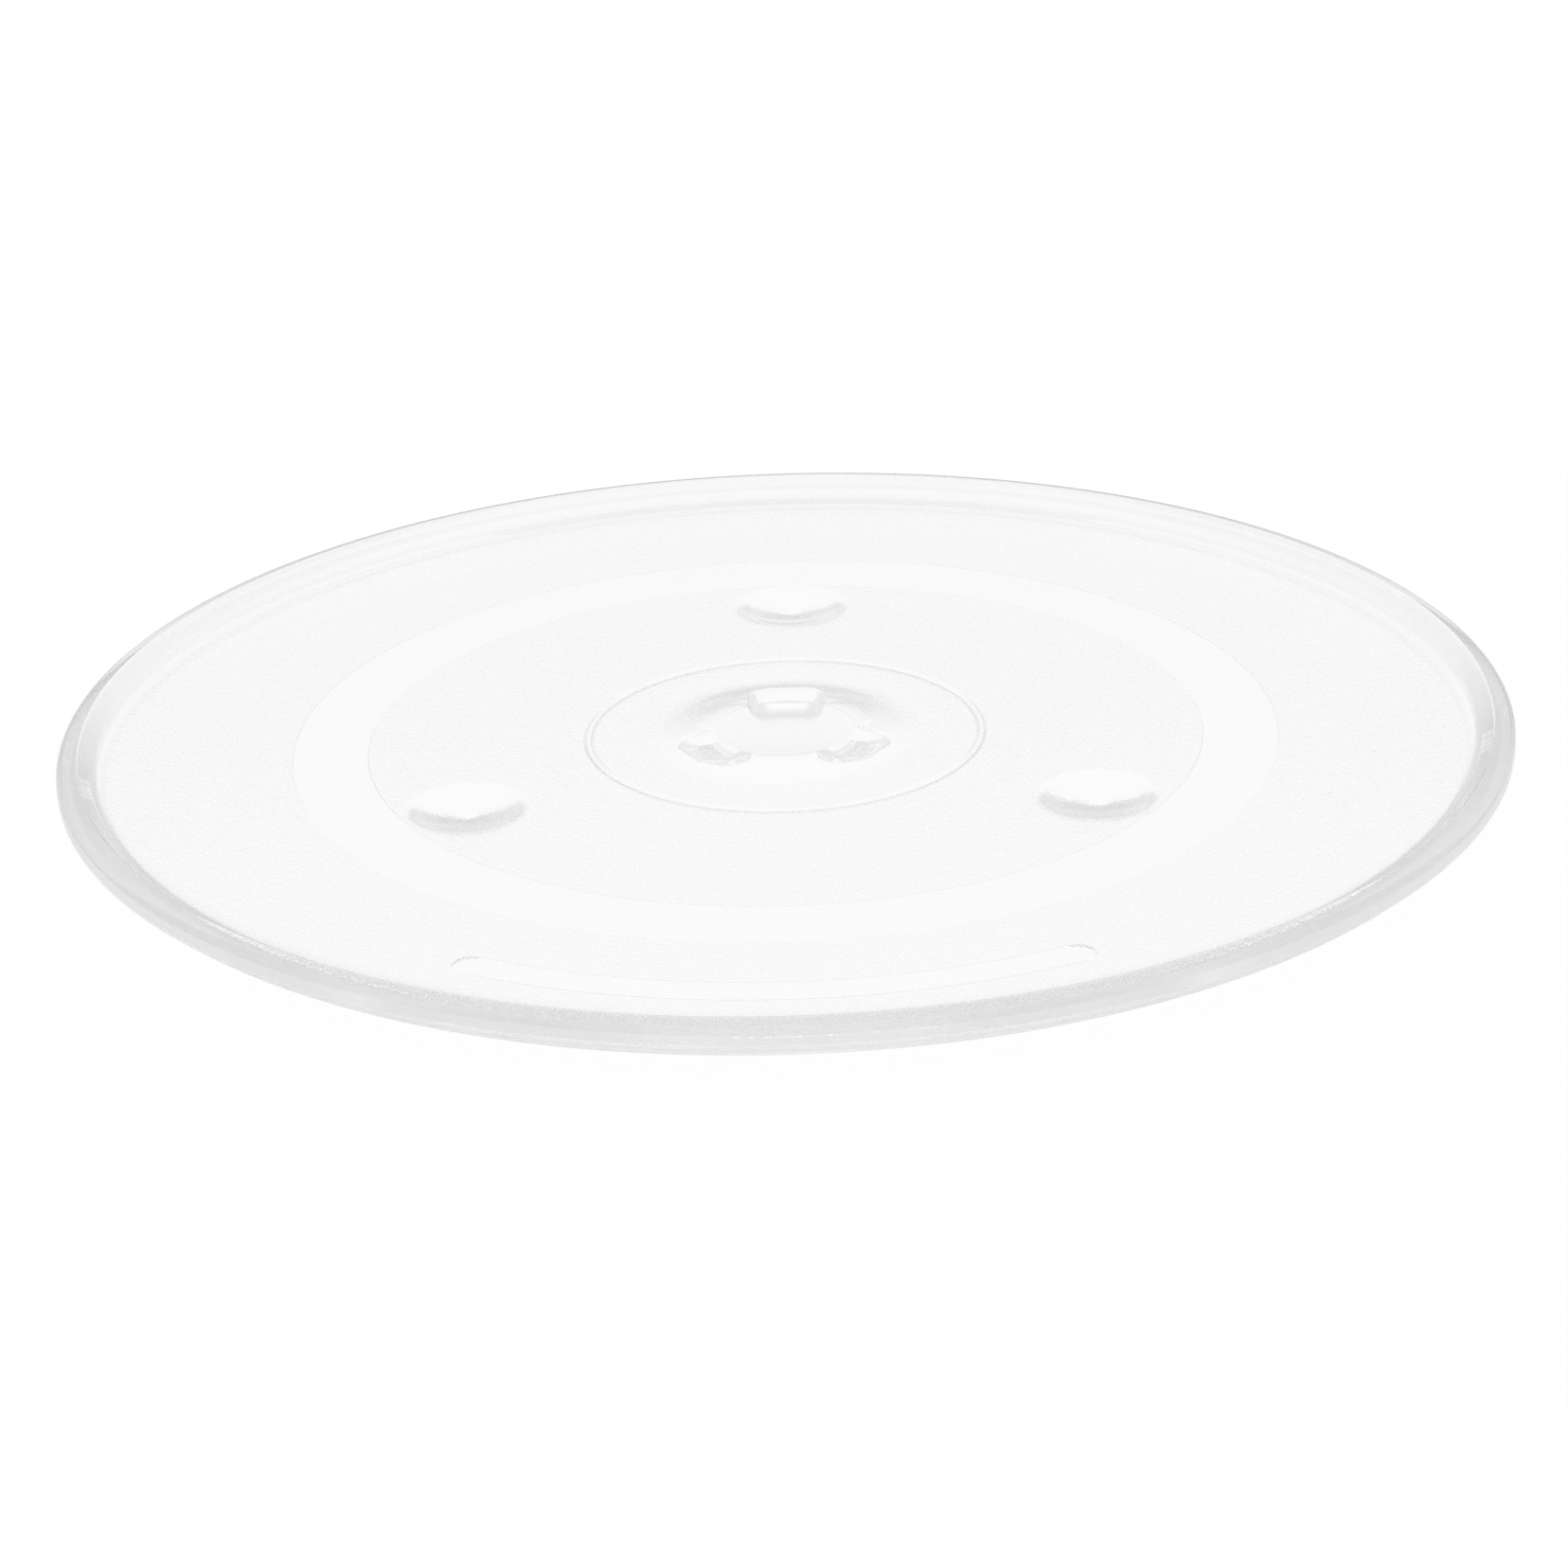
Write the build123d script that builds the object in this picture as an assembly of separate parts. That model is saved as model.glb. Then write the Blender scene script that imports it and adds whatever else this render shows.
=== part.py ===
from build123d import *
import math
import os

# Round plate of clear pressed glass, with the food side up. Lengths are in millimetres, angles in degrees.
# The plate stands on its three feet at z = 0, with its centre on the Z axis.

# Plate and floor
plate_diameter = 284.0
floor_thickness = 4.75

# Raised edge: a foot of two slopes that meet at a heel, an upright wall, a land on top that falls a little outwards,
# and a sloping wall down to the floor
edge_height = 8.65
edge_foot_height = 4.3
edge_foot_run = 7.0
edge_heel_height = 1.3
edge_heel_run = 3.5
edge_land_width = 4.0
edge_land_fall = 0.7
edge_inner_run = 3.8

# The edge's outer top corner is cut off by a bevel, and each corner is eased by a flat that starts this far from it
edge_bevel = 0.9
edge_base_ease = 1.0
edge_heel_ease = 1.0
edge_shoulder_ease = 0.8
edge_bevel_ease = 0.4
edge_land_ease = 0.5
edge_floor_ease = 2.0

# Hub: the middle of the plate's top swells up a little
hub_rise = 0.8
hub_top_diameter = 12.0
hub_base_diameter = 64.0

# Hollow under the hub, a shallow cone whose two corners are eased by flats
hollow_depth = 1.35
hollow_top_diameter = 31.2
hollow_base_diameter = 50.8
hollow_ease = 2.6

# Drive socket, a round floor that is let into the hollow between the lugs
socket_diameter = 27.4
socket_step = 0.25
socket_draft = 4.0

# Drive lugs, barrel-shaped and rounded at both ends, cut off along their crest by the socket's wall
lug_count = 3
lug_crest_length = 7.0
lug_end_run = 4.0
lug_back_run = 8.4
lug_root_radius = 0.6
lug_rest_clearance = 0.8

# Centring ring, a low ridge under the floor with sloping sides
ring_diameter = 77.3
ring_width = 2.0
ring_crest_width = 0.9
ring_height = 0.55

# Roller track, a smooth shallow band under the floor
track_inner_diameter = 163.8
track_outer_diameter = 193.3
track_depth = 0.12

# Feet, low domes that end in a small flat land each, just inside the track
foot_count = 3
foot_diameter = 22.4
foot_height = 3.3
foot_land_diameter = 5.0
foot_root_radius = 1.0
foot_track_clearance = 1.55

# The first foot and the first lug lie on the +Y side
first_angle = 90.0

# Two radii that differ by less than this are the same size
same_size = 1e-6

# Levels and radii that follow from the sizes above
underside_z = foot_height
floor_z = underside_z + floor_thickness
edge_top_z = underside_z + edge_height
hub_top_z = floor_z + hub_rise
hollow_z = underside_z + hollow_depth
socket_z = hollow_z + socket_step
inside_z = (hollow_z + floor_z) / 2
plate_radius = plate_diameter / 2
socket_radius = socket_diameter / 2
hub_top_radius = hub_top_diameter / 2
hub_base_radius = hub_base_diameter / 2
foot_radius = foot_diameter / 2
foot_circle_radius = track_inner_diameter / 2 - foot_track_clearance - foot_radius


def s_curve(start, end):
    """Two equal arcs that leave both points level and meet half-way."""
    middle = ((start[0] + end[0]) / 2, (start[1] + end[1]) / 2)
    first = TangentArc(start, middle, tangent=(end[0] - start[0], 0))
    return [first, TangentArc(middle, end, tangent=first % 1)]


def eased(points, eases):
    """The points of a run of straight lines, with each inner corner cut off by a flat."""
    run = [points[0]]
    for before, corner, after, ease in zip(points, points[1:], points[2:], eases):
        corner = Vector(corner)
        run.append(corner + (Vector(before) - corner).normalized() * ease)
        run.append(corner + (Vector(after) - corner).normalized() * ease)
    return [*run, points[-1]]


def underside_outline():
    """The underside from the axis to the outer side of the track."""
    track_z = underside_z + track_depth
    crest_z = underside_z - ring_height
    hollow = [
        (0, hollow_z),
        (hollow_top_diameter / 2, hollow_z),
        (hollow_base_diameter / 2, underside_z),
        ((ring_diameter - ring_width) / 2, underside_z),
    ]
    return Polyline(
        *eased(hollow, [hollow_ease, hollow_ease]),
        ((ring_diameter - ring_crest_width) / 2, crest_z),
        ((ring_diameter + ring_crest_width) / 2, crest_z),
        ((ring_diameter + ring_width) / 2, underside_z),
        (track_inner_diameter / 2, underside_z),
        (track_inner_diameter / 2, track_z),
        (track_outer_diameter / 2, track_z),
        (track_outer_diameter / 2, underside_z),
    )


def edge_outline():
    """From the outer side of the track, round the raised edge, to the foot of the hub on top."""
    land_inner_radius = plate_radius - edge_land_width
    land_outer_z = edge_top_z - edge_land_fall
    points = [
        (track_outer_diameter / 2, underside_z),
        (plate_radius - edge_foot_run, underside_z),
        (plate_radius - edge_heel_run, underside_z + edge_heel_height),
        (plate_radius, underside_z + edge_foot_height),
        (plate_radius, land_outer_z - edge_bevel),
        (plate_radius - edge_bevel, land_outer_z),
        (land_inner_radius, edge_top_z),
        (land_inner_radius - edge_inner_run, floor_z),
        (hub_base_radius, floor_z),
    ]
    eases = [
        edge_base_ease,
        edge_heel_ease,
        edge_shoulder_ease,
        edge_bevel_ease,
        edge_bevel_ease,
        edge_land_ease,
        edge_floor_ease,
    ]
    return Polyline(eased(points, eases))


def turned_plate():
    """The plate with its raised edge, hub, ring and track, turned about the Z axis."""
    outline = [
        underside_outline(),
        edge_outline(),
        *s_curve((hub_base_radius, floor_z), (hub_top_radius, hub_top_z)),
        Polyline((hub_top_radius, hub_top_z), (0, hub_top_z), (0, hollow_z)),
    ]
    return revolve(Plane.XZ * make_face(Curve() + outline), Axis.Z)


def foot():
    """A part of a ball that meets the underside at the foot's diameter and ends in a flat land at z = 0."""
    land_radius = foot_land_diameter / 2
    ball_rise = (foot_radius**2 - land_radius**2 - foot_height**2) / (2 * foot_height)
    ball_radius = math.hypot(foot_radius, ball_rise)
    root_angle = -math.degrees(math.atan2(ball_rise, foot_radius))
    land_angle = -math.degrees(math.atan2(ball_rise + foot_height, land_radius))
    side = CenterArc((0, underside_z + ball_rise), ball_radius, root_angle, land_angle - root_angle)
    rest = Polyline(side @ 1, (0, 0), (0, inside_z), (foot_radius, inside_z), side @ 0)
    return revolve(Plane.XZ * make_face(Curve() + [side, rest]), Axis.Z)


def lug():
    """The lower part of a barrel that lies along the socket's wall, on the +X side."""
    height = hollow_z - lug_rest_clearance
    barrel_radius = (lug_back_run**2 + height**2) / (2 * height)
    half_crest = lug_crest_length / 2
    half_length = half_crest + lug_end_run
    end = TangentArc((half_crest, -barrel_radius), (half_length, height - barrel_radius), tangent=(1, 0))
    rest = Polyline(end @ 1, (half_length, 0), (0, 0), (0, -barrel_radius), end @ 0)
    half_section = make_face(Curve() + [end, rest])
    middle = Plane((socket_radius, 0, lug_rest_clearance + barrel_radius), x_dir=(0, 1, 0), z_dir=(1, 0, 0))
    section = middle * (half_section + mirror(half_section, Plane.YZ))
    barrel = revolve(section, Axis(middle.origin, middle.x_dir))
    return split(barrel, Plane((0, 0, inside_z)), keep=Keep.BOTTOM)


def socket_cutter():
    """The space between the lugs, with its wall leaning outwards towards the mouth."""
    mouth_radius = socket_radius + socket_z * math.tan(math.radians(socket_draft))
    return Pos(0, 0, socket_z / 2) * Cone(mouth_radius, socket_radius, socket_z)


def turntable_plate():
    """The whole plate, pressed in one piece."""
    footed = turned_plate() + PolarLocations(foot_circle_radius, foot_count, first_angle) * foot()
    circles = footed.edges().filter_by(GeomType.CIRCLE)
    foot_roots = circles.filter_by(lambda edge: math.isclose(edge.radius, foot_radius, abs_tol=same_size))
    footed = fillet(foot_roots, foot_root_radius)
    lugs = PolarLocations(0, lug_count, first_angle) * lug()
    lugged = footed + lugs
    lugged = fillet(new_edges(footed, *lugs, combined=lugged), lug_root_radius)
    return lugged - socket_cutter()


os.makedirs("parts", exist_ok=True)
export_step(turntable_plate(), "parts/turntable_plate.step")
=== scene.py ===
import math

import bpy
import numpy as np
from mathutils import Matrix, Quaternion, Vector


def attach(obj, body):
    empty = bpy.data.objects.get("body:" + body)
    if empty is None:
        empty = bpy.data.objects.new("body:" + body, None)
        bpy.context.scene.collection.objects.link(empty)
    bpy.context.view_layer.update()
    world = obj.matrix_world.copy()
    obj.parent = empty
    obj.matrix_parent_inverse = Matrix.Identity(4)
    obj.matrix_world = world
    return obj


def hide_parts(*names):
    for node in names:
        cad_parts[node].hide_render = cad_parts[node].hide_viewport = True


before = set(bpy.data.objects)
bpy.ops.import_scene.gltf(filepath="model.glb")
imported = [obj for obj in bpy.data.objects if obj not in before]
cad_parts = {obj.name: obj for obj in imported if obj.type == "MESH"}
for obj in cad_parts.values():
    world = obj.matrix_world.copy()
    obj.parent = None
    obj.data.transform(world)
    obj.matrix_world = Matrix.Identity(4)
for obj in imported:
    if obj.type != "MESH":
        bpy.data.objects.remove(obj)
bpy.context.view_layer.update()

# Lengths are in millimetres, as on the plate's drawing, and angles are in degrees.
MM = 0.001

# Plate and floor
PLATE_RADIUS = 142.0
UNDERSIDE = 3.3
FLOOR = 8.05

# Raised edge: a foot of two slopes that meet at a heel, an upright wall, a bevel, a land that falls a little
# outwards, and a sloping wall down to the floor
EDGE_TOP = 11.95
EDGE_LAND_OUTSIDE = 11.25
EDGE_FOOT_RADIUS = 135.0
EDGE_HEEL_RADIUS = 138.5
EDGE_HEEL = 4.6
EDGE_SHOULDER = 7.6
EDGE_BEVEL = 0.9
EDGE_LAND_RADIUS = 138.0
EDGE_FLOOR_RADIUS = 134.2

# How far from each corner of the edge its rounding starts
EDGE_BASE_EASE = 1.0
EDGE_HEEL_EASE = 1.0
EDGE_SHOULDER_EASE = 0.8
EDGE_BEVEL_EASE = 0.5
EDGE_LAND_EASE = 0.7
EDGE_FLOOR_EASE = 2.0

# Hub: the middle of the plate's top swells up a little
HUB_RISE = 0.8
HUB_TOP_RADIUS = 6.0
HUB_BASE_RADIUS = 32.0

# Hollow under the hub
HOLLOW_DEPTH = 1.35
HOLLOW_TOP_RADIUS = 15.6
HOLLOW_BASE_RADIUS = 25.4
HOLLOW_EASE = 2.6

# Drive socket between the lugs
SOCKET_RADIUS = 13.7
SOCKET_FLOOR = 4.9
SOCKET_DRAFT = 4.0

# Drive lugs
LUG_HALF_CREST = 3.5
LUG_END_RUN = 4.0
LUG_BACK_RUN = 8.4
LUG_TIP = 0.8
LUG_ROOT_ROUND = 0.6

# Centring ring
RING_RADIUS = 38.65
RING_HALF_WIDTH = 1.0
RING_HALF_CREST = 0.45
RING_HEIGHT = 0.55
RING_EASE = 0.12

# Roller track
TRACK_INNER_RADIUS = 81.9
TRACK_OUTER_RADIUS = 96.65
TRACK_DEPTH = 0.12
TRACK_SIDE = 0.07
TRACK_EASE = 0.05

# Feet
FOOT_RADIUS = 11.2
FOOT_LAND_RADIUS = 2.5
FOOT_CIRCLE_RADIUS = 69.15
FOOT_ROOT_ROUND = 0.5

# Directions of the feet and the lugs
THIRDS = (90.0, 210.0, 330.0)

# Bare bar near the front of the underside, along a circle about the plate's middle
BAR_RADIUS = 117.1
BAR_HALF_WIDTH = 3.6
BAR_HALF_SPAN = 26.9
BAR_ANGLE = 270.0
BAR_DEPTH = 0.15
BAR_SIDE = 0.15

# Columns of the mesh, closer together within this angle of the bar's ends
COLUMNS = 432
BAR_END_COLUMNS = 36
BAR_END_REACH = 2.4

# Rings of the mesh
LUG_RINGS_START = 14.15
LUG_RINGS_END = 23.2
LUG_RINGS_STEP = 0.25
HOLLOW_RINGS_START = 23.5
HOLLOW_RINGS = 10
FOOT_RINGS_MARGIN = 0.7
FOOT_RINGS = 36
BAR_SIDE_RINGS = 7
BAR_FLOOR_RINGS = 7
BAR_FLOOR_HALF_WIDTH = 2.8
SOCKET_INNER_RING = 6.85
FLOOR_RING = 60.0
HUB_TOP_RINGS = 17
FLAT_BEFORE_FEET = 2.0
FLAT_BESIDE_EDGE = 4.0

# Steps in which a corner is rounded
EDGE_CORNER_STEPS = 4
HOLLOW_CORNER_STEPS = 8
FINE_CORNER_STEPS = 2

# The socket's wall leans, so the line where it meets the lugs is found in this many rounds
SOCKET_ROUNDS = 6

# Corners of the plate that turn by more than this stay crisp
CRISP_ANGLE = 35.0

# Stipple under the floor and on the outer wall, with the heights and radii over which it comes and goes
STIPPLE_DEPTH = 0.065
STIPPLE_SCALE = 1000.0
STIPPLE_STRETCH = (1.8, 1.0, 1.0)
STIPPLE_DETAIL = 2.0
STIPPLE_FINENESS = 0.5
STIPPLE_ROUGHNESS = 0.13
STIPPLE_TOP = (7.0, 8.0)
STIPPLE_RIM = (133.0, 134.5)
STIPPLE_WALL = (141.6, 141.8)
STIPPLE_WALL_SHARE = 0.5
STIPPLE_HUB = (22.0, 28.0)
STIPPLE_HUB_SHARE = 0.25
STIPPLE_BACK = (0.0, 100.0)
STIPPLE_BACK_LOSS = 0.5
SMOOTH_TRACK_INSIDE = (81.7, 82.0)
SMOOTH_TRACK_OUTSIDE = (96.5, 96.8)
SMOOTH_BAR = (3.3, 3.6)

# Clear glass: its density darkens only long ways through it
GLASS_IOR = 1.5
GLASS_DENSITY = 0.22
GLASS_SHADE = (0.94, 0.94, 0.94, 1)

# Pale table, which glows in a disc under the plate; in the glass the glow fades into a painted shadow of the
# rim, deeper towards the front of the edge
TABLE_HALF_WIDTH = 190.0
TABLE_FRONT = -250.0
TABLE_BACK = 165.0
TABLE_COLOUR = (0.8, 0.8, 0.8, 1)
TABLE_GLOW = 0.97
# Painted shadow of the rim: the radii over which the glow in the glass fades, and how much; a second, deeper
# fade on a disc shifted back falls under the front of the edge
PAINTED_SHADOW_REACH = (137.0, 146.0)
RIM_PAINTED_SHADOW = 0.45
FRONT_PAINTED_SHADOW_SHIFT = 20.0
FRONT_PAINTED_SHADOW = 0.7

# White tent round the plate: how much darker its parts are, and where each starts and ends, in parts of a
# direction of length 1
TENT_SHADE = 0.12
FLANK_SHADE = 0.05
FLANK_TURN = (0.6, 0.95)
FLANK_TOP = (0.1, 0.4)
FAR_SHADE = 0.03
FAR_TURN = (0.75, 0.9)
FAR_BASE = (0.15, 0.25)
FAR_TOP = (0.5, 0.6)
LOW_SHADE = 0.55
LOW_TOP = (0.18, 0.3)
LOW_SIDE_LOSS = 0.8
LOW_SIDE_TURN = (0.2, 0.7)
ROOF_GAIN = 0.2
ROOF_BASE = (0.7, 0.9)
NEAR_TURN = (0.1, 0.7)
NEAR_BASE = (0.3, 0.6)

# Soft box over the plate
LAMP_PLACE = (-300.0, -200.0, 1600.0)
LAMP_WIDTH = 1200.0
LAMP_DEPTH = 900.0
LAMP_POWER = 6.0

# Camera, low in front of the plate and tilted a little
CAMERA_AIM = (0.32, -26.22, 6.54)
CAMERA_AZIMUTH = 271.9
CAMERA_ELEVATION = 23.077
CAMERA_ROLL = -1.958
CAMERA_DISTANCE = 864.8
CAMERA_LENS = 103.67
CAMERA_SENSOR = 36.0
CAMERA_NEAREST = 10.0
CAMERA_FARTHEST = 20000.0

# How often light may turn inside the glass
BOUNCES = 128


def eased(points, eases, steps):
    """The points of a run of straight lines in which each inner corner is rounded by a parabola."""
    run = [points[0]]
    for before, corner, after, ease in zip(points, points[1:], points[2:], eases):
        corner = np.array(corner)
        enter = np.array(before) - corner
        leave = np.array(after) - corner
        enter = enter / np.linalg.norm(enter) * ease
        leave = leave / np.linalg.norm(leave) * ease
        for t in np.linspace(0, 1, steps + 1):
            run.append(tuple(corner + (1 - t) ** 2 * enter + t**2 * leave))
    return [*run, points[-1]]


def blended_lower(a, b, reach):
    """The lower of two heights, with the corner between them rounded."""
    share = np.clip(0.5 + 0.5 * (b - a) / reach, 0, 1)
    return b + (a - b) * share - reach * share * (1 - share)


def s_curve(t):
    """From 0 to 1 by two equal arcs of a flat rise, level at both ends."""
    t = np.clip(t, 0, 1)
    return np.where(t < 0.5, 2 * t**2, 1 - 2 * (1 - t) ** 2)


def hub_rise(radius):
    """How far the middle of the plate's top is pressed up."""
    return HUB_RISE * s_curve((HUB_BASE_RADIUS - radius) / (HUB_BASE_RADIUS - HUB_TOP_RADIUS))


def hub_underside(radius):
    """Height of the underside of the hub, with its hollow."""
    corners = [
        (0, UNDERSIDE + HOLLOW_DEPTH),
        (HOLLOW_TOP_RADIUS, UNDERSIDE + HOLLOW_DEPTH),
        (HOLLOW_BASE_RADIUS, UNDERSIDE),
        (PLATE_RADIUS, UNDERSIDE),
    ]
    slope = np.array(eased(corners, [HOLLOW_EASE, HOLLOW_EASE], HOLLOW_CORNER_STEPS))
    return np.interp(radius, slope[:, 0], slope[:, 1])


def lug_height(x, y):
    """Height of the lugs before the socket cuts them: barrels along its wall, rounded at both ends."""
    height = UNDERSIDE + HOLLOW_DEPTH - LUG_TIP
    barrel = (LUG_BACK_RUN**2 + height**2) / (2 * height)
    end_radius = (LUG_END_RUN**2 + height**2) / (2 * height)
    lugs = []
    for angle in THIRDS:
        turn = math.radians(angle)
        out = x * math.cos(turn) + y * math.sin(turn) - SOCKET_RADIUS
        past = np.clip(abs(y * math.cos(turn) - x * math.sin(turn)) - LUG_HALF_CREST, 0, end_radius)
        girth = barrel - end_radius + np.sqrt(end_radius**2 - past**2)
        lugs.append(LUG_TIP + barrel - np.sqrt(np.maximum(girth**2 - out**2, 0)))
    return np.min(lugs, axis=0)


def foot_height(x, y):
    """Height of the feet: parts of a ball that end in a small level land each."""
    rise = (FOOT_RADIUS**2 - FOOT_LAND_RADIUS**2 - UNDERSIDE**2) / (2 * UNDERSIDE)
    ball = math.hypot(FOOT_RADIUS, rise)
    feet = []
    for angle in THIRDS:
        turn = math.radians(angle)
        away_x = x - FOOT_CIRCLE_RADIUS * math.cos(turn)
        away_y = y - FOOT_CIRCLE_RADIUS * math.sin(turn)
        feet.append(UNDERSIDE + rise - np.sqrt(np.maximum(ball**2 - away_x**2 - away_y**2, 0)))
    return np.maximum(np.min(feet, axis=0), 0)


def bar_depth(x, y):
    """How deep the bare bar near the front is let into the underside."""
    limit = math.radians(BAR_HALF_SPAN)
    turn = np.clip(np.arctan2(x, -y), -limit, limit)
    away = np.hypot(x - BAR_RADIUS * np.sin(turn), -y - BAR_RADIUS * np.cos(turn))
    return BAR_DEPTH * (1 - s_curve((away - BAR_HALF_WIDTH + BAR_SIDE / 2) / BAR_SIDE))


def underside_height(x, y, base):
    """Height of the underside with all that is pressed into it, over its plain section."""
    height = blended_lower(base, lug_height(x, y), LUG_ROOT_ROUND)
    height = blended_lower(height, foot_height(x, y), FOOT_ROOT_ROUND)
    return height + bar_depth(x, y)


def column_angles():
    """Angles of the mesh's columns, closer together where the ends of the bar are."""
    even = np.linspace(0, 360, COLUMNS, endpoint=False)
    even = even[abs(abs(even - BAR_ANGLE) - BAR_HALF_SPAN) > BAR_END_REACH]
    close = np.linspace(BAR_HALF_SPAN - BAR_END_REACH, BAR_HALF_SPAN + BAR_END_REACH, BAR_END_COLUMNS)
    return np.radians(np.sort(np.concatenate([even, BAR_ANGLE - close, BAR_ANGLE + close])))


def hub_section():
    """Radius and height of the rings under the hub, from the lugs to the end of the hollow."""
    hollow_end = HOLLOW_BASE_RADIUS + HOLLOW_EASE
    lug_rings = np.arange(LUG_RINGS_START, LUG_RINGS_END, LUG_RINGS_STEP)
    hollow_rings = np.linspace(HOLLOW_RINGS_START, hollow_end, HOLLOW_RINGS)
    return [(radius, hub_underside(radius)) for radius in [*lug_rings, *hollow_rings]]


def ring_section():
    """Radius and height of the rings round the centring ring."""
    crest = UNDERSIDE - RING_HEIGHT
    points = [
        (HOLLOW_BASE_RADIUS + 2 * HOLLOW_EASE, UNDERSIDE),
        (RING_RADIUS - RING_HALF_WIDTH, UNDERSIDE),
        (RING_RADIUS - RING_HALF_CREST, crest),
        (RING_RADIUS + RING_HALF_CREST, crest),
        (RING_RADIUS + RING_HALF_WIDTH, UNDERSIDE),
        (FOOT_CIRCLE_RADIUS - FOOT_RADIUS - FLAT_BEFORE_FEET, UNDERSIDE),
    ]
    return eased(points, [RING_EASE] * (len(points) - 2), FINE_CORNER_STEPS)


def feet_section():
    """Radius and height of the rings across the feet."""
    reach = FOOT_RADIUS + FOOT_RINGS_MARGIN
    radii = np.linspace(FOOT_CIRCLE_RADIUS - reach, FOOT_CIRCLE_RADIUS + reach, FOOT_RINGS)
    return [(radius, UNDERSIDE) for radius in radii]


def track_section():
    """Radius and height of the rings across the roller track."""
    track = UNDERSIDE + TRACK_DEPTH
    points = [
        (TRACK_INNER_RADIUS - 3 * TRACK_SIDE, UNDERSIDE),
        (TRACK_INNER_RADIUS - TRACK_SIDE, UNDERSIDE),
        (TRACK_INNER_RADIUS + TRACK_SIDE, track),
        (TRACK_OUTER_RADIUS - TRACK_SIDE, track),
        (TRACK_OUTER_RADIUS + TRACK_SIDE, UNDERSIDE),
        (TRACK_OUTER_RADIUS + 3 * TRACK_SIDE, UNDERSIDE),
    ]
    return eased(points, [TRACK_EASE] * (len(points) - 2), FINE_CORNER_STEPS)


def bar_section():
    """Radius and height of the rings across the bar."""
    side = np.linspace(BAR_HALF_WIDTH - BAR_SIDE, BAR_HALF_WIDTH + BAR_SIDE, BAR_SIDE_RINGS)
    middle = np.linspace(-BAR_FLOOR_HALF_WIDTH, BAR_FLOOR_HALF_WIDTH, BAR_FLOOR_RINGS)
    return [(BAR_RADIUS + step, UNDERSIDE) for step in [*-side[::-1], *middle, *side]]


def edge_section():
    """Radius and height of the raised edge's rings, from its foot round to the floor."""
    points = [
        (EDGE_FOOT_RADIUS - FLAT_BESIDE_EDGE, UNDERSIDE),
        (EDGE_FOOT_RADIUS, UNDERSIDE),
        (EDGE_HEEL_RADIUS, EDGE_HEEL),
        (PLATE_RADIUS, EDGE_SHOULDER),
        (PLATE_RADIUS, EDGE_LAND_OUTSIDE - EDGE_BEVEL),
        (PLATE_RADIUS - EDGE_BEVEL, EDGE_LAND_OUTSIDE),
        (EDGE_LAND_RADIUS, EDGE_TOP),
        (EDGE_FLOOR_RADIUS, FLOOR),
        (EDGE_FLOOR_RADIUS - FLAT_BESIDE_EDGE, FLOOR),
    ]
    eases = [
        EDGE_BASE_EASE,
        EDGE_HEEL_EASE,
        EDGE_SHOULDER_EASE,
        EDGE_BEVEL_EASE,
        EDGE_BEVEL_EASE,
        EDGE_LAND_EASE,
        EDGE_FLOOR_EASE,
    ]
    return eased(points, eases, EDGE_CORNER_STEPS)


def top_section():
    """Radius and height of the rings on top, from the floor to the middle of the hub."""
    hub_rings = np.linspace(HUB_BASE_RADIUS, HUB_TOP_RADIUS, HUB_TOP_RINGS)
    return [(radius, FLOOR + hub_rise(radius)) for radius in [FLOOR_RING, *hub_rings]]


def socket_edge(columns):
    """The corner at which the socket's leaning wall meets the lugs and the hub."""
    lean = math.tan(math.radians(SOCKET_DRAFT))
    radius = np.full_like(columns, SOCKET_RADIUS)
    for _ in range(SOCKET_ROUNDS):
        lugs = lug_height(radius * np.cos(columns), radius * np.sin(columns))
        height = blended_lower(hub_underside(radius), lugs, LUG_ROOT_ROUND)
        radius = SOCKET_RADIUS + (SOCKET_FLOOR - height) * lean
    return radius, height


def plate_rings():
    """All rings of the plate, from the middle of its underside, round the edge, to the middle of its top."""
    columns = column_angles()
    x, y = np.cos(columns), np.sin(columns)
    rings = [(SOCKET_INNER_RING, SOCKET_FLOOR), (SOCKET_RADIUS, SOCKET_FLOOR), socket_edge(columns)]
    underside = [*hub_section(), *ring_section(), *feet_section(), *track_section(), *bar_section()]
    rings += [(radius, underside_height(x * radius, y * radius, base)) for radius, base in underside]
    rings += [*edge_section(), *top_section()]
    level = np.ones_like(columns)
    return [np.stack([x * radius, y * radius, level * height], axis=1) for radius, height in rings]


def glass_plate():
    """The pressed plate as one closed piece of glass."""
    rings = plate_rings()
    count = len(rings[0])
    points = np.concatenate([*rings, [[0, 0, SOCKET_FLOOR], [0, 0, FLOOR + HUB_RISE]]]) * MM
    low, high = len(points) - 2, len(points) - 1
    after = np.roll(np.arange(count), -1)
    faces = []
    for ring in range(len(rings) - 1):
        here, there = ring * count, (ring + 1) * count
        faces += [(here + a, here + b, there + b, there + a) for a, b in enumerate(after)]
    last = (len(rings) - 1) * count
    faces += [(low, b, a) for a, b in enumerate(after)]
    faces += [(high, last + a, last + b) for a, b in enumerate(after)]
    mesh = bpy.data.meshes.new("glass_plate")
    mesh.from_pydata(points.tolist(), [], faces)
    mesh.shade_smooth()
    mesh.set_sharp_from_angle(angle=math.radians(CRISP_ANGLE))
    plate = bpy.data.objects.new("glass_plate", mesh)
    bpy.context.scene.collection.objects.link(plate)
    level = plate.modifiers.new("level_faces", "WEIGHTED_NORMAL")
    level.keep_sharp = True
    return plate


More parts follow.
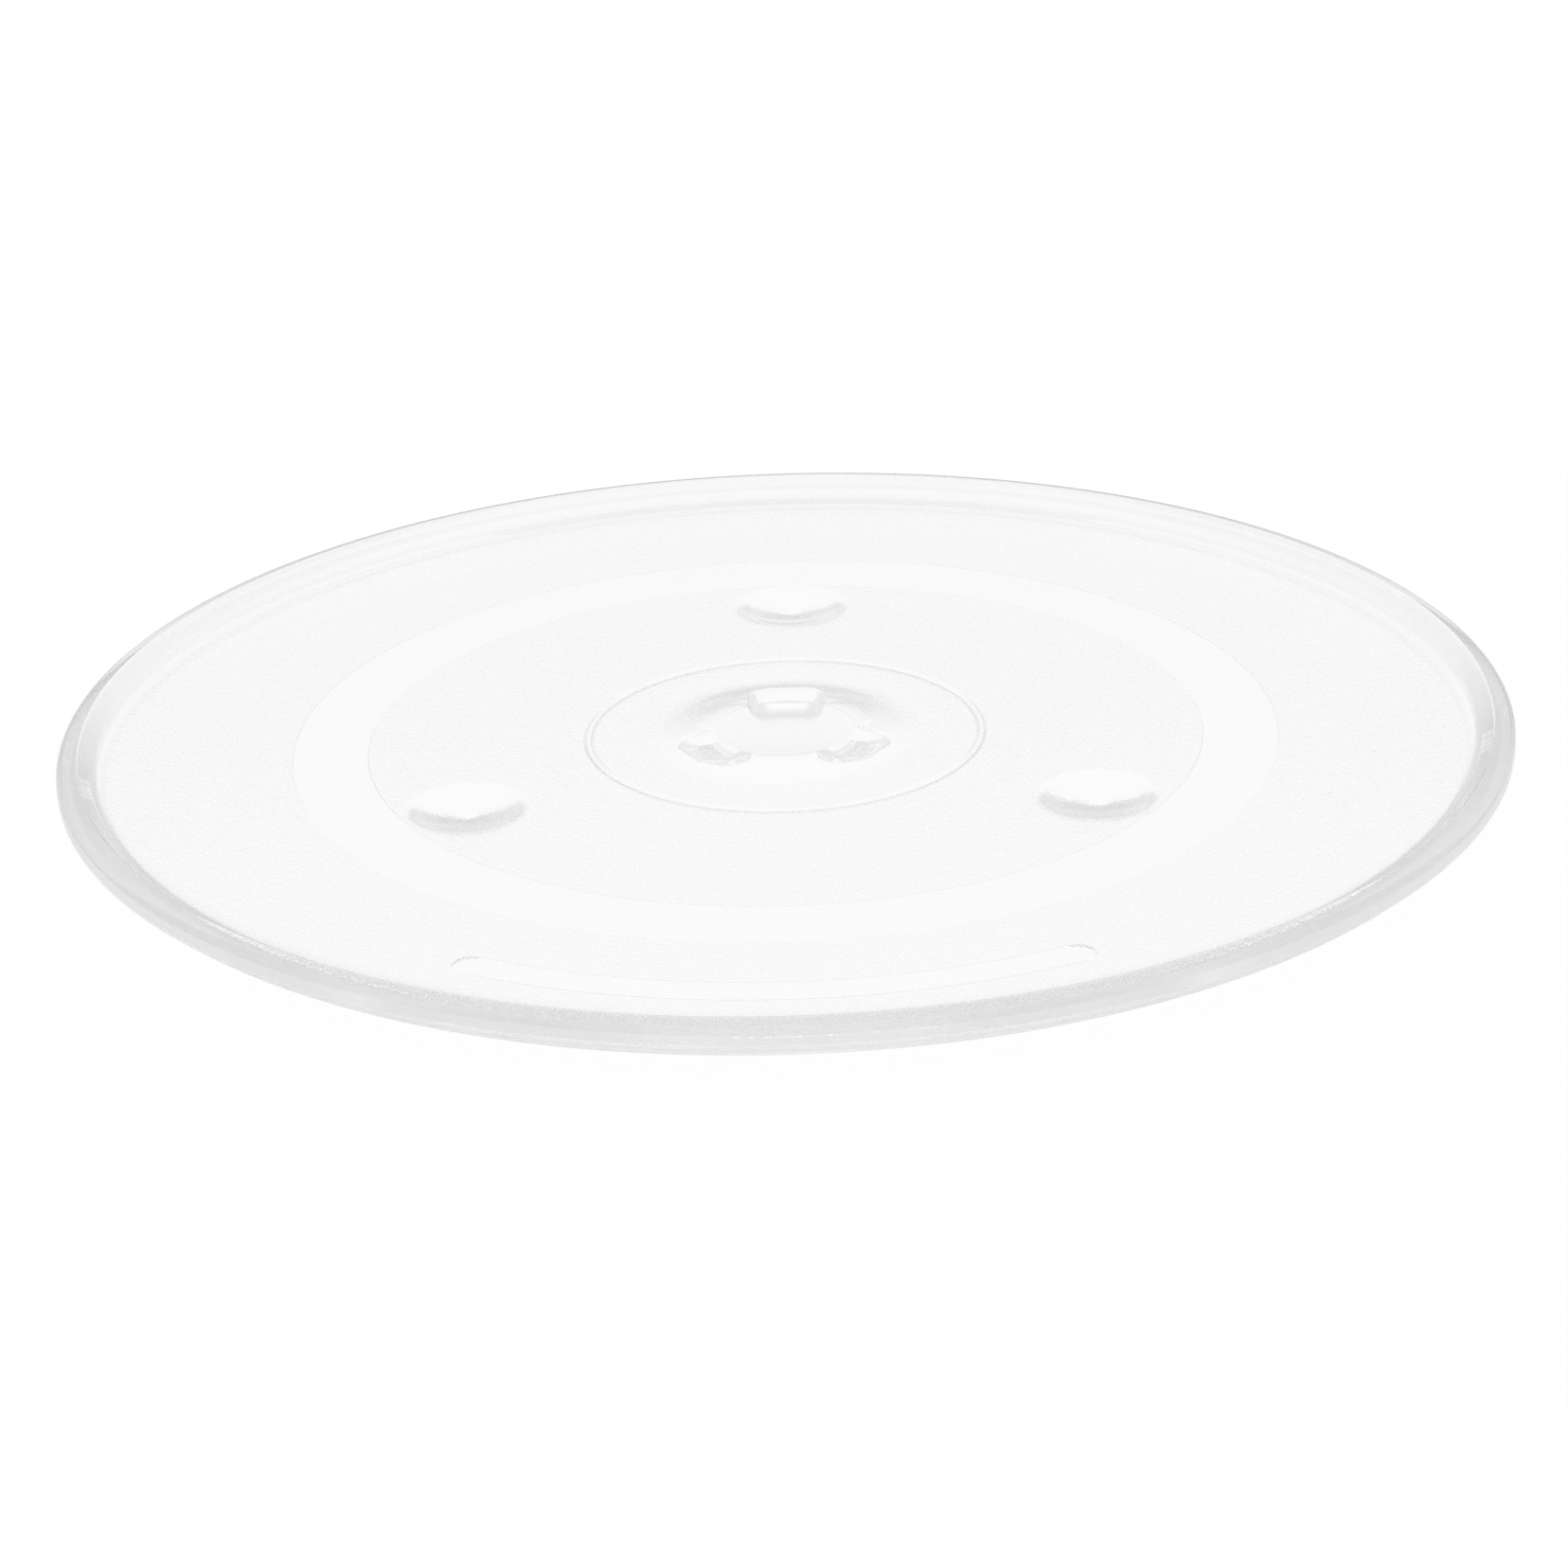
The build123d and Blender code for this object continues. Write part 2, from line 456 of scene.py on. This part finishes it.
class Wire:
    """A socket's value in a node tree, on which Python's operators add Math nodes."""

    def __init__(self, net, socket):
        self.net = net
        self.socket = socket

    def math(self, operation, *values):
        return self.net.node("ShaderNodeMath", {"operation": operation}, dict(enumerate(values)))

    def __add__(self, other):
        return self.math("ADD", self, other)

    __radd__ = __add__

    def __sub__(self, other):
        return self.math("SUBTRACT", self, other)

    def __rsub__(self, other):
        return self.math("SUBTRACT", other, self)

    def __mul__(self, other):
        return self.math("MULTIPLY", self, other)

    __rmul__ = __mul__

    def __pow__(self, other):
        return self.math("POWER", self, other)

    def __neg__(self):
        return self.math("SUBTRACT", 0, self)

    def __abs__(self):
        return self.math("ABSOLUTE", self)

    def larger(self, other):
        return self.math("MAXIMUM", self, other)

    def smaller(self, other):
        return self.math("MINIMUM", self, other)

    def rise(self, start, end):
        """From 0 at start to 1 at end, level at both."""
        settings = {"interpolation_type": "SMOOTHSTEP"}
        sockets = {"Value": self, "From Min": start, "From Max": end}
        return self.net.node("ShaderNodeMapRange", settings, sockets)

    def rise_mm(self, start, end):
        """The same for a length, between two places in millimetres."""
        return self.rise(start * MM, end * MM)


class Net:
    """The node tree of a material or a world."""

    def __init__(self, owner):
        owner.use_nodes = True
        self.tree = owner.node_tree
        self.tree.nodes.clear()

    def node(self, kind, settings=None, sockets=None, output=0):
        made = self.tree.nodes.new(kind)
        for name, value in (settings or {}).items():
            setattr(made, name, value)
        for key, value in (sockets or {}).items():
            if isinstance(value, Wire):
                self.tree.links.new(value.socket, made.inputs[key])
            else:
                made.inputs[key].default_value = value
        return Wire(self, made.outputs[output]) if made.outputs else made

    def parts(self, vector):
        """The three parts of a vector."""
        return [self.node("ShaderNodeSeparateXYZ", None, {0: vector}, axis) for axis in "XYZ"]

    def rays(self, kind):
        """1 for rays of one kind."""
        return self.node("ShaderNodeLightPath", output=kind)


def from_bar(x, y):
    """Distance from the middle line of the bar."""
    limit = math.radians(BAR_HALF_SPAN)
    turn = x.math("ARCTAN2", x, -y).smaller(limit).larger(-limit)
    off_x = x - BAR_RADIUS * MM * turn.math("SINE", turn)
    off_y = -y - BAR_RADIUS * MM * turn.math("COSINE", turn)
    return (off_x * off_x + off_y * off_y) ** 0.5


def clear_glass():
    """Clear glass, stippled under the floor and round the edge, smooth on top, on the track and the bar."""
    material = bpy.data.materials.new("clear_glass")
    net = Net(material)
    place = net.node("ShaderNodeTexCoord", output="Object")
    x, y, z = net.parts(place)
    radius = (x * x + y * y) ** 0.5
    under_floor = (1 - z.rise_mm(*STIPPLE_TOP)) * (1 - radius.rise_mm(*STIPPLE_RIM))
    on_track = radius.rise_mm(*SMOOTH_TRACK_INSIDE) * (1 - radius.rise_mm(*SMOOTH_TRACK_OUTSIDE))
    stippled = under_floor * (1 - on_track) * from_bar(x, y).rise_mm(*SMOOTH_BAR)
    off_hub = STIPPLE_HUB_SHARE + (1 - STIPPLE_HUB_SHARE) * radius.rise_mm(*STIPPLE_HUB)
    to_back = 1 - STIPPLE_BACK_LOSS * y.rise_mm(*STIPPLE_BACK)
    on_wall = STIPPLE_WALL_SHARE * radius.rise_mm(*STIPPLE_WALL)
    drawn = net.node("ShaderNodeVectorMath", {"operation": "MULTIPLY"}, {0: place, 1: STIPPLE_STRETCH})
    grain = net.node(
        "ShaderNodeTexNoise",
        None,
        {"Vector": drawn, "Scale": STIPPLE_SCALE, "Detail": STIPPLE_DETAIL, "Roughness": STIPPLE_FINENESS},
    )
    height = grain * (stippled * off_hub * to_back + on_wall)
    bump = net.node(
        "ShaderNodeBump",
        None,
        {"Strength": 1.0, "Distance": STIPPLE_DEPTH * MM, "Height": height},
    )
    glass = net.node(
        "ShaderNodeBsdfPrincipled",
        None,
        {
            "Base Color": (1, 1, 1, 1),
            "Roughness": stippled * STIPPLE_ROUGHNESS,
            "IOR": GLASS_IOR,
            "Transmission Weight": 1.0,
            "Normal": bump,
        },
    )
    passed = net.node("ShaderNodeBsdfTransparent", None, {"Color": GLASS_SHADE})
    surface = net.node("ShaderNodeMixShader", None, {0: net.rays("Is Shadow Ray"), 1: glass, 2: passed})
    inside = net.node("ShaderNodeVolumeAbsorption", None, {"Color": (0, 0, 0, 1), "Density": GLASS_DENSITY})
    net.node("ShaderNodeOutputMaterial", None, {"Surface": surface, "Volume": inside})
    return material


def glow_with_painted_shadow(net, place, shift, painted_shadow_depth):
    """Glow of a disc round a point behind the plate's middle, which fades at the disc's edge into a painted
    shadow.
    """
    middle = (0, shift * MM, 0)
    away = net.node("ShaderNodeVectorMath", {"operation": "DISTANCE"}, {0: place, 1: middle}, "Value")
    return 1 - painted_shadow_depth * away.rise_mm(*PAINTED_SHADOW_REACH)


def table_paper():
    """Pale paper that glows for the camera, and under the plate's middle for the glass as well, where the
    glow fades into a painted shadow of the rim.
    """
    material = bpy.data.materials.new("white_table")
    net = Net(material)
    place = net.node("ShaderNodeTexCoord", output="Object")
    # Painted shadow of the rim in the glass: the glow fades under the edge, most under its front
    glass_glow_with_painted_shadow = glow_with_painted_shadow(net, place, 0, RIM_PAINTED_SHADOW)
    glass_glow_with_painted_shadow *= glow_with_painted_shadow(net, place, FRONT_PAINTED_SHADOW_SHIFT, FRONT_PAINTED_SHADOW)
    in_glass = net.rays("Is Glossy Ray").larger(net.rays("Is Transmission Ray"))
    share = TABLE_GLOW * net.rays("Is Camera Ray").larger(in_glass * glass_glow_with_painted_shadow)
    paper = net.node("ShaderNodeBsdfDiffuse", None, {"Color": TABLE_COLOUR})
    glow = net.node("ShaderNodeEmission", None, {"Color": (1, 1, 1, 1), "Strength": 1.0})
    surface = net.node("ShaderNodeMixShader", None, {0: share, 1: paper, 2: glow})
    net.node("ShaderNodeOutputMaterial", None, {"Surface": surface})
    return material


def white_table():
    """The pale floor that the plate stands on."""
    corners = [
        (-TABLE_HALF_WIDTH, TABLE_FRONT, 0),
        (TABLE_HALF_WIDTH, TABLE_FRONT, 0),
        (TABLE_HALF_WIDTH, TABLE_BACK, 0),
        (-TABLE_HALF_WIDTH, TABLE_BACK, 0),
    ]
    mesh = bpy.data.meshes.new("white_table")
    mesh.from_pydata([Vector(corner) * MM for corner in corners], [], [(0, 1, 2, 3)])
    mesh.materials.append(table_paper())
    table = bpy.data.objects.new("white_table", mesh)
    bpy.context.scene.collection.objects.link(table)


def white_tent():
    """A tent, white to the camera and a little grey in the glass, darkest low down before and behind."""
    world = bpy.data.worlds.new("white_tent")
    bpy.context.scene.world = world
    net = Net(world)
    x, y, z = net.parts(net.node("ShaderNodeTexCoord", output="Generated"))
    flank = abs(x).rise(*FLANK_TURN) * (1 - z.rise(*FLANK_TOP))
    far = y.rise(*FAR_TURN) * z.rise(*FAR_BASE) * (1 - z.rise(*FAR_TOP))
    low = (1 - abs(z).rise(*LOW_TOP)) * (1 - LOW_SIDE_LOSS * abs(x).rise(*LOW_SIDE_TURN))
    near = (-y).rise(*NEAR_TURN) * z.rise(*NEAR_BASE)
    roof = z.rise(*ROOF_BASE) * (1 - near)
    shade = TENT_SHADE + FLANK_SHADE * flank + FAR_SHADE * far + LOW_SHADE * low - ROOF_GAIN * roof
    level = 1 - (1 - net.rays("Is Camera Ray")) * shade
    cloth = net.node("ShaderNodeBackground", None, {"Color": (1, 1, 1, 1), "Strength": level})
    net.node("ShaderNodeOutputWorld", None, {"Surface": cloth})


def soft_box():
    """A wide soft lamp over the plate, which shows neither in the glass nor through it."""
    lamp = bpy.data.lights.new("soft_box", "AREA")
    lamp.shape = "RECTANGLE"
    lamp.size = LAMP_WIDTH * MM
    lamp.size_y = LAMP_DEPTH * MM
    lamp.energy = LAMP_POWER
    made = bpy.data.objects.new("soft_box", lamp)
    made.location = Vector(LAMP_PLACE) * MM
    made.rotation_mode = "QUATERNION"
    made.rotation_quaternion = (-made.location).to_track_quat("-Z", "Y")
    made.visible_glossy = False
    made.visible_transmission = False
    bpy.context.scene.collection.objects.link(made)


def camera():
    """The camera, low in front of the plate and tilted a little."""
    azimuth = math.radians(CAMERA_AZIMUTH)
    elevation = math.radians(CAMERA_ELEVATION)
    level = math.cos(elevation)
    back = Vector((level * math.cos(azimuth), level * math.sin(azimuth), math.sin(elevation)))
    lens = bpy.data.cameras.new("camera")
    lens.lens = CAMERA_LENS
    lens.sensor_width = CAMERA_SENSOR
    lens.clip_start = CAMERA_NEAREST * MM
    lens.clip_end = CAMERA_FARTHEST * MM
    made = bpy.data.objects.new("camera", lens)
    made.location = (Vector(CAMERA_AIM) + back * CAMERA_DISTANCE) * MM
    made.rotation_mode = "QUATERNION"
    roll = Quaternion((0, 0, 1), math.radians(CAMERA_ROLL))
    made.rotation_quaternion = (-back).to_track_quat("-Z", "Y") @ roll
    bpy.context.scene.collection.objects.link(made)
    bpy.context.scene.camera = made


bpy.context.scene.view_settings.view_transform = "Standard"
bpy.context.scene.cycles.max_bounces = BOUNCES
bpy.context.scene.cycles.transmission_bounces = BOUNCES
bpy.context.scene.cycles.glossy_bounces = BOUNCES

plate = glass_plate()
plate.data.materials.append(clear_glass())
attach(plate, "root")
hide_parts("turntable_plate")
white_table()
white_tent()
soft_box()
camera()
